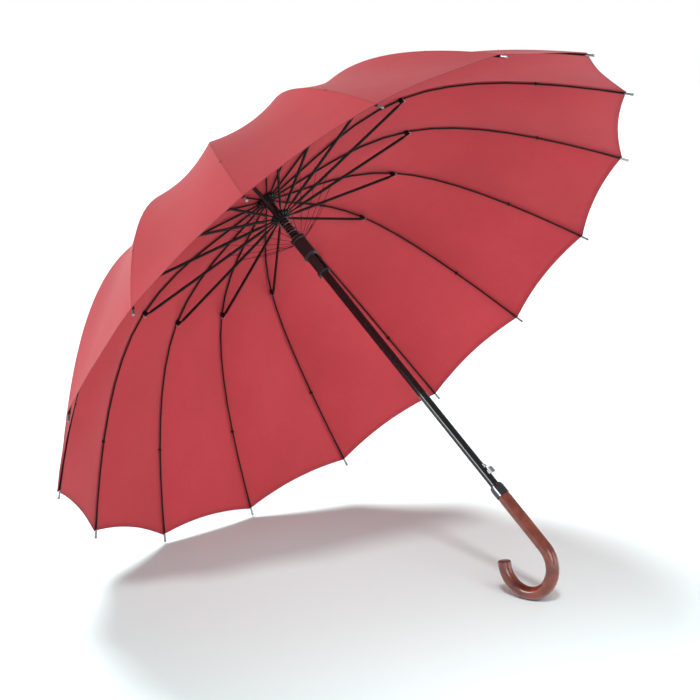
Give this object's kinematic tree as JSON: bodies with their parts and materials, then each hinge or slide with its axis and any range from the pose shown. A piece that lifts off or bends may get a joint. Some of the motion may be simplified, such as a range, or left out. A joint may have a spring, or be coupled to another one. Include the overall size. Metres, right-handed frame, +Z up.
{
  "type": "stick_umbrella",
  "caption": "Open stick umbrella with a scalloped dome canopy on curved ribs and stretchers, sprung runner, black shaft and a wooden crook handle, lying on its rim and handle",
  "frame": {"origin": "middle of the bottom of the bounding box, on the floor the umbrella lies on", "axes": "+Z up from the floor; +X from the canopy to the crook handle along the floor; Y across the canopy"},
  "size_m": [0.7536, 1.0696, 0.8023],
  "materials": {
    "cloth": "fine plain weave, water repellent",
    "ribs": "satin black",
    "shaft": "gloss black",
    "plastic": "satin black",
    "bright": "bright",
    "spring": "dull",
    "collar": "dark gloss",
    "wood": "gloss varnish"
  },
  "bodies": {
    "shaft": {"shaft_tube": "shaft", "tip_ferrule": "bright", "crown_cap": "plastic", "top_notch": "plastic", "canopy": "cloth", "handle_collar": "collar", "crook_handle": "wood"},
    "inner_01": {"inner_rib_01": "ribs"},
    "outer_01": {"outer_rib_01": "ribs"},
    "stretcher_01": {"stretcher_01": "ribs"},
    "inner_02": {"inner_rib_02": "ribs"},
    "outer_02": {"outer_rib_02": "ribs"},
    "stretcher_02": {"stretcher_02": "ribs"},
    "inner_03": {"inner_rib_03": "ribs"},
    "outer_03": {"outer_rib_03": "ribs"},
    "stretcher_03": {"stretcher_03": "ribs"},
    "inner_04": {"inner_rib_04": "ribs"},
    "outer_04": {"outer_rib_04": "ribs"},
    "stretcher_04": {"stretcher_04": "ribs"},
    "inner_05": {"inner_rib_05": "ribs"},
    "outer_05": {"outer_rib_05": "ribs"},
    "stretcher_05": {"stretcher_05": "ribs"},
    "inner_06": {"inner_rib_06": "ribs"},
    "outer_06": {"outer_rib_06": "ribs"},
    "stretcher_06": {"stretcher_06": "ribs"},
    "inner_07": {"inner_rib_07": "ribs"},
    "outer_07": {"outer_rib_07": "ribs"},
    "stretcher_07": {"stretcher_07": "ribs"},
    "inner_08": {"inner_rib_08": "ribs"},
    "outer_08": {"outer_rib_08": "ribs"},
    "stretcher_08": {"stretcher_08": "ribs"},
    "inner_09": {"inner_rib_09": "ribs"},
    "outer_09": {"outer_rib_09": "ribs"},
    "stretcher_09": {"stretcher_09": "ribs"},
    "inner_10": {"inner_rib_10": "ribs"},
    "outer_10": {"outer_rib_10": "ribs"},
    "stretcher_10": {"stretcher_10": "ribs"},
    "inner_11": {"inner_rib_11": "ribs"},
    "outer_11": {"outer_rib_11": "ribs"},
    "stretcher_11": {"stretcher_11": "ribs"},
    "inner_12": {"inner_rib_12": "ribs"},
    "outer_12": {"outer_rib_12": "ribs"},
    "stretcher_12": {"stretcher_12": "ribs"},
    "inner_13": {"inner_rib_13": "ribs"},
    "outer_13": {"outer_rib_13": "ribs"},
    "stretcher_13": {"stretcher_13": "ribs"},
    "inner_14": {"inner_rib_14": "ribs"},
    "outer_14": {"outer_rib_14": "ribs"},
    "stretcher_14": {"stretcher_14": "ribs"},
    "inner_15": {"inner_rib_15": "ribs"},
    "outer_15": {"outer_rib_15": "ribs"},
    "stretcher_15": {"stretcher_15": "ribs"},
    "inner_16": {"inner_rib_16": "ribs"},
    "outer_16": {"outer_rib_16": "ribs"},
    "stretcher_16": {"stretcher_16": "ribs"},
    "hub": {"stretcher_hub": "plastic", "opening_spring": "spring"},
    "runner": {"lower_runner": "plastic"},
    "button": {"release_button": "bright"},
    "catch": {"runner_catch": "bright"}
  },
  "joints": [
    {"name": "fold", "type": "hinge", "parent": "shaft", "child": "inner_01", "pos_m": [-0.17304, 0.00273, 0.58515], "axis": [-0.1318, 0.9808, -0.1438], "range_deg": [0, 83.38], "stiffness_Nm_per_rad": 2.5, "springref_deg": -45.84, "deforming": ["canopy"]},
    {"name": "flex_01", "type": "hinge", "parent": "inner_01", "child": "outer_01", "pos_m": [0.01178, 0.0535, 0.76194], "axis": [-0.1318, 0.9808, -0.1438], "range_deg": [-36.68, 0]},
    {"name": "strut_01", "type": "hinge", "parent": "inner_01", "child": "stretcher_01", "pos_m": [0.01332, 0.05326, 0.75892], "axis": [-0.1318, 0.9808, -0.1438], "range_deg": [-166.76, 0]},
    {"name": "rib_02", "type": "hinge", "parent": "shaft", "child": "inner_02", "pos_m": [-0.17445, 0.00778, 0.58361], "axis": [-0.3753, 0.8315, -0.4096], "range_deg": [0, 83.38]},
    {"name": "flex_02", "type": "hinge", "parent": "inner_02", "child": "outer_02", "pos_m": [-0.01588, 0.15234, 0.73175], "axis": [-0.3753, 0.8315, -0.4096], "range_deg": [-36.68, 0]},
    {"name": "strut_02", "type": "hinge", "parent": "inner_02", "child": "stretcher_02", "pos_m": [-0.01422, 0.15167, 0.72887], "axis": [-0.3753, 0.8315, -0.4096], "range_deg": [-166.76, 0]},
    {"name": "rib_03", "type": "hinge", "parent": "shaft", "child": "inner_03", "pos_m": [-0.17706, 0.01164, 0.58076], "axis": [-0.5617, 0.5556, -0.613], "range_deg": [0, 83.38]},
    {"name": "flex_03", "type": "hinge", "parent": "inner_03", "child": "outer_03", "pos_m": [-0.06699, 0.228, 0.67598], "axis": [-0.5617, 0.5556, -0.613], "range_deg": [-36.68, 0]},
    {"name": "strut_03", "type": "hinge", "parent": "inner_03", "child": "stretcher_03", "pos_m": [-0.0651, 0.22699, 0.67333], "axis": [-0.5617, 0.5556, -0.613], "range_deg": [-166.76, 0]},
    {"name": "rib_04", "type": "hinge", "parent": "shaft", "child": "inner_04", "pos_m": [-0.18047, 0.01373, 0.57704], "axis": [-0.6626, 0.1951, -0.7231], "range_deg": [0, 83.38]},
    {"name": "flex_04", "type": "hinge", "parent": "inner_04", "child": "outer_04", "pos_m": [-0.13377, 0.26894, 0.6031], "axis": [-0.6626, 0.1951, -0.7231], "range_deg": [-36.68, 0]},
    {"name": "strut_04", "type": "hinge", "parent": "inner_04", "child": "stretcher_04", "pos_m": [-0.13159, 0.26775, 0.60078], "axis": [-0.6626, 0.1951, -0.7231], "range_deg": [-166.76, 0]},
    {"name": "rib_05", "type": "hinge", "parent": "shaft", "child": "inner_05", "pos_m": [-0.18416, 0.01373, 0.57301], "axis": [-0.6626, -0.1951, -0.7231], "range_deg": [0, 83.38]},
    {"name": "flex_05", "type": "hinge", "parent": "inner_05", "child": "outer_05", "pos_m": [-0.20606, 0.26894, 0.52422], "axis": [-0.6626, -0.1951, -0.7231], "range_deg": [-36.68, 0]},
    {"name": "strut_05", "type": "hinge", "parent": "inner_05", "child": "stretcher_05", "pos_m": [-0.20355, 0.26775, 0.52224], "axis": [-0.6626, -0.1951, -0.7231], "range_deg": [-166.76, 0]},
    {"name": "rib_06", "type": "hinge", "parent": "shaft", "child": "inner_06", "pos_m": [-0.18757, 0.01164, 0.56929], "axis": [-0.5617, -0.5556, -0.613], "range_deg": [0, 83.38]},
    {"name": "flex_06", "type": "hinge", "parent": "inner_06", "child": "outer_06", "pos_m": [-0.27283, 0.228, 0.45134], "axis": [-0.5617, -0.5556, -0.613], "range_deg": [-36.68, 0]},
    {"name": "strut_06", "type": "hinge", "parent": "inner_06", "child": "stretcher_06", "pos_m": [-0.27004, 0.22699, 0.44969], "axis": [-0.5617, -0.5556, -0.613], "range_deg": [-166.76, 0]},
    {"name": "rib_07", "type": "hinge", "parent": "shaft", "child": "inner_07", "pos_m": [-0.19018, 0.00778, 0.56644], "axis": [-0.3753, -0.8315, -0.4096], "range_deg": [0, 83.38]},
    {"name": "flex_07", "type": "hinge", "parent": "inner_07", "child": "outer_07", "pos_m": [-0.32395, 0.15234, 0.39556], "axis": [-0.3753, -0.8315, -0.4096], "range_deg": [-36.68, 0]},
    {"name": "strut_07", "type": "hinge", "parent": "inner_07", "child": "stretcher_07", "pos_m": [-0.32092, 0.15167, 0.39416], "axis": [-0.3753, -0.8315, -0.4096], "range_deg": [-166.76, 0]},
    {"name": "rib_08", "type": "hinge", "parent": "shaft", "child": "inner_08", "pos_m": [-0.19159, 0.00273, 0.5649], "axis": [-0.1318, -0.9808, -0.1438], "range_deg": [0, 83.38]},
    {"name": "flex_08", "type": "hinge", "parent": "inner_08", "child": "outer_08", "pos_m": [-0.35161, 0.0535, 0.36538], "axis": [-0.1318, -0.9808, -0.1438], "range_deg": [-36.68, 0]},
    {"name": "strut_08", "type": "hinge", "parent": "inner_08", "child": "stretcher_08", "pos_m": [-0.34846, 0.05326, 0.3641], "axis": [-0.1318, -0.9808, -0.1438], "range_deg": [-166.76, 0]},
    {"name": "rib_09", "type": "hinge", "parent": "shaft", "child": "inner_09", "pos_m": [-0.19159, -0.00273, 0.5649], "axis": [0.1318, -0.9808, 0.1438], "range_deg": [0, 83.38]},
    {"name": "flex_09", "type": "hinge", "parent": "inner_09", "child": "outer_09", "pos_m": [-0.35161, -0.0535, 0.36538], "axis": [0.1318, -0.9808, 0.1438], "range_deg": [-36.68, 0]},
    {"name": "strut_09", "type": "hinge", "parent": "inner_09", "child": "stretcher_09", "pos_m": [-0.34846, -0.05326, 0.3641], "axis": [0.1318, -0.9808, 0.1438], "range_deg": [-166.76, 0]},
    {"name": "rib_10", "type": "hinge", "parent": "shaft", "child": "inner_10", "pos_m": [-0.19018, -0.00778, 0.56644], "axis": [0.3753, -0.8315, 0.4096], "range_deg": [0, 83.38]},
    {"name": "flex_10", "type": "hinge", "parent": "inner_10", "child": "outer_10", "pos_m": [-0.32395, -0.15234, 0.39556], "axis": [0.3753, -0.8315, 0.4096], "range_deg": [-36.68, 0]},
    {"name": "strut_10", "type": "hinge", "parent": "inner_10", "child": "stretcher_10", "pos_m": [-0.32092, -0.15167, 0.39416], "axis": [0.3753, -0.8315, 0.4096], "range_deg": [-166.76, 0]},
    {"name": "rib_11", "type": "hinge", "parent": "shaft", "child": "inner_11", "pos_m": [-0.18757, -0.01164, 0.56929], "axis": [0.5617, -0.5556, 0.613], "range_deg": [0, 83.38]},
    {"name": "flex_11", "type": "hinge", "parent": "inner_11", "child": "outer_11", "pos_m": [-0.27283, -0.228, 0.45134], "axis": [0.5617, -0.5556, 0.613], "range_deg": [-36.68, 0]},
    {"name": "strut_11", "type": "hinge", "parent": "inner_11", "child": "stretcher_11", "pos_m": [-0.27004, -0.22699, 0.44969], "axis": [0.5617, -0.5556, 0.613], "range_deg": [-166.76, 0]},
    {"name": "rib_12", "type": "hinge", "parent": "shaft", "child": "inner_12", "pos_m": [-0.18416, -0.01373, 0.57301], "axis": [0.6626, -0.1951, 0.7231], "range_deg": [0, 83.38]},
    {"name": "flex_12", "type": "hinge", "parent": "inner_12", "child": "outer_12", "pos_m": [-0.20606, -0.26894, 0.52422], "axis": [0.6626, -0.1951, 0.7231], "range_deg": [-36.68, 0]},
    {"name": "strut_12", "type": "hinge", "parent": "inner_12", "child": "stretcher_12", "pos_m": [-0.20355, -0.26775, 0.52224], "axis": [0.6626, -0.1951, 0.7231], "range_deg": [-166.76, 0]},
    {"name": "rib_13", "type": "hinge", "parent": "shaft", "child": "inner_13", "pos_m": [-0.18047, -0.01373, 0.57704], "axis": [0.6626, 0.1951, 0.7231], "range_deg": [0, 83.38]},
    {"name": "flex_13", "type": "hinge", "parent": "inner_13", "child": "outer_13", "pos_m": [-0.13377, -0.26894, 0.6031], "axis": [0.6626, 0.1951, 0.7231], "range_deg": [-36.68, 0]},
    {"name": "strut_13", "type": "hinge", "parent": "inner_13", "child": "stretcher_13", "pos_m": [-0.13159, -0.26775, 0.60078], "axis": [0.6626, 0.1951, 0.7231], "range_deg": [-166.76, 0]},
    {"name": "rib_14", "type": "hinge", "parent": "shaft", "child": "inner_14", "pos_m": [-0.17706, -0.01164, 0.58076], "axis": [0.5617, 0.5556, 0.613], "range_deg": [0, 83.38]},
    {"name": "flex_14", "type": "hinge", "parent": "inner_14", "child": "outer_14", "pos_m": [-0.06699, -0.228, 0.67598], "axis": [0.5617, 0.5556, 0.613], "range_deg": [-36.68, 0]},
    {"name": "strut_14", "type": "hinge", "parent": "inner_14", "child": "stretcher_14", "pos_m": [-0.0651, -0.22699, 0.67333], "axis": [0.5617, 0.5556, 0.613], "range_deg": [-166.76, 0]},
    {"name": "rib_15", "type": "hinge", "parent": "shaft", "child": "inner_15", "pos_m": [-0.17445, -0.00778, 0.58361], "axis": [0.3753, 0.8315, 0.4096], "range_deg": [0, 83.38]},
    {"name": "flex_15", "type": "hinge", "parent": "inner_15", "child": "outer_15", "pos_m": [-0.01588, -0.15234, 0.73175], "axis": [0.3753, 0.8315, 0.4096], "range_deg": [-36.68, 0]},
    {"name": "strut_15", "type": "hinge", "parent": "inner_15", "child": "stretcher_15", "pos_m": [-0.01422, -0.15167, 0.72887], "axis": [0.3753, 0.8315, 0.4096], "range_deg": [-166.76, 0]},
    {"name": "rib_16", "type": "hinge", "parent": "shaft", "child": "inner_16", "pos_m": [-0.17304, -0.00273, 0.58515], "axis": [0.1318, 0.9808, 0.1438], "range_deg": [0, 83.38]},
    {"name": "flex_16", "type": "hinge", "parent": "inner_16", "child": "outer_16", "pos_m": [0.01178, -0.0535, 0.76194], "axis": [0.1318, 0.9808, 0.1438], "range_deg": [-36.68, 0]},
    {"name": "strut_16", "type": "hinge", "parent": "inner_16", "child": "stretcher_16", "pos_m": [0.01332, -0.05326, 0.75892], "axis": [0.1318, 0.9808, 0.1438], "range_deg": [-166.76, 0]},
    {"name": "hub_travel", "type": "hinge", "parent": "stretcher_01", "child": "hub", "pos_m": [-0.14355, 0.00273, 0.55812], "axis": [-0.1318, 0.9808, -0.1438], "range_deg": [0, 83.38]},
    {"name": "runner_slide", "type": "slide", "parent": "hub", "child": "runner", "axis": [-0.7373, 0, 0.6756], "range_m": [0, 0.039], "deforming": ["opening_spring"]},
    {"name": "button_press", "type": "slide", "parent": "shaft", "child": "button", "axis": [-0.6756, 0, -0.7373], "range_m": [0, 0.003], "stiffness_N_per_m": 350, "springref_m": -0.002},
    {"name": "catch_retract", "type": "slide", "parent": "shaft", "child": "catch", "axis": [-0.6756, 0, -0.7373], "range_m": [0, 0.003]}
  ],
  "couplings": [
    {"joint": "flex_01", "follows": "fold", "ratio": -0.43994},
    {"joint": "strut_01", "follows": "fold", "ratio": -2},
    {"joint": "rib_02", "follows": "fold", "ratio": 1},
    {"joint": "flex_02", "follows": "fold", "ratio": -0.43994},
    {"joint": "strut_02", "follows": "fold", "ratio": -2},
    {"joint": "rib_03", "follows": "fold", "ratio": 1},
    {"joint": "flex_03", "follows": "fold", "ratio": -0.43994},
    {"joint": "strut_03", "follows": "fold", "ratio": -2},
    {"joint": "rib_04", "follows": "fold", "ratio": 1},
    {"joint": "flex_04", "follows": "fold", "ratio": -0.43994},
    {"joint": "strut_04", "follows": "fold", "ratio": -2},
    {"joint": "rib_05", "follows": "fold", "ratio": 1},
    {"joint": "flex_05", "follows": "fold", "ratio": -0.43994},
    {"joint": "strut_05", "follows": "fold", "ratio": -2},
    {"joint": "rib_06", "follows": "fold", "ratio": 1},
    {"joint": "flex_06", "follows": "fold", "ratio": -0.43994},
    {"joint": "strut_06", "follows": "fold", "ratio": -2},
    {"joint": "rib_07", "follows": "fold", "ratio": 1},
    {"joint": "flex_07", "follows": "fold", "ratio": -0.43994},
    {"joint": "strut_07", "follows": "fold", "ratio": -2},
    {"joint": "rib_08", "follows": "fold", "ratio": 1},
    {"joint": "flex_08", "follows": "fold", "ratio": -0.43994},
    {"joint": "strut_08", "follows": "fold", "ratio": -2},
    {"joint": "rib_09", "follows": "fold", "ratio": 1},
    {"joint": "flex_09", "follows": "fold", "ratio": -0.43994},
    {"joint": "strut_09", "follows": "fold", "ratio": -2},
    {"joint": "rib_10", "follows": "fold", "ratio": 1},
    {"joint": "flex_10", "follows": "fold", "ratio": -0.43994},
    {"joint": "strut_10", "follows": "fold", "ratio": -2},
    {"joint": "rib_11", "follows": "fold", "ratio": 1},
    {"joint": "flex_11", "follows": "fold", "ratio": -0.43994},
    {"joint": "strut_11", "follows": "fold", "ratio": -2},
    {"joint": "rib_12", "follows": "fold", "ratio": 1},
    {"joint": "flex_12", "follows": "fold", "ratio": -0.43994},
    {"joint": "strut_12", "follows": "fold", "ratio": -2},
    {"joint": "rib_13", "follows": "fold", "ratio": 1},
    {"joint": "flex_13", "follows": "fold", "ratio": -0.43994},
    {"joint": "strut_13", "follows": "fold", "ratio": -2},
    {"joint": "rib_14", "follows": "fold", "ratio": 1},
    {"joint": "flex_14", "follows": "fold", "ratio": -0.43994},
    {"joint": "strut_14", "follows": "fold", "ratio": -2},
    {"joint": "rib_15", "follows": "fold", "ratio": 1},
    {"joint": "flex_15", "follows": "fold", "ratio": -0.43994},
    {"joint": "strut_15", "follows": "fold", "ratio": -2},
    {"joint": "rib_16", "follows": "fold", "ratio": 1},
    {"joint": "flex_16", "follows": "fold", "ratio": -0.43994},
    {"joint": "strut_16", "follows": "fold", "ratio": -2},
    {"joint": "hub_travel", "follows": "fold", "ratio": 1},
    {"joint": "runner_slide", "follows": "fold", "m_per_rad": 0.0268},
    {"joint": "catch_retract", "follows": "button_press", "ratio": 1}
  ]
}
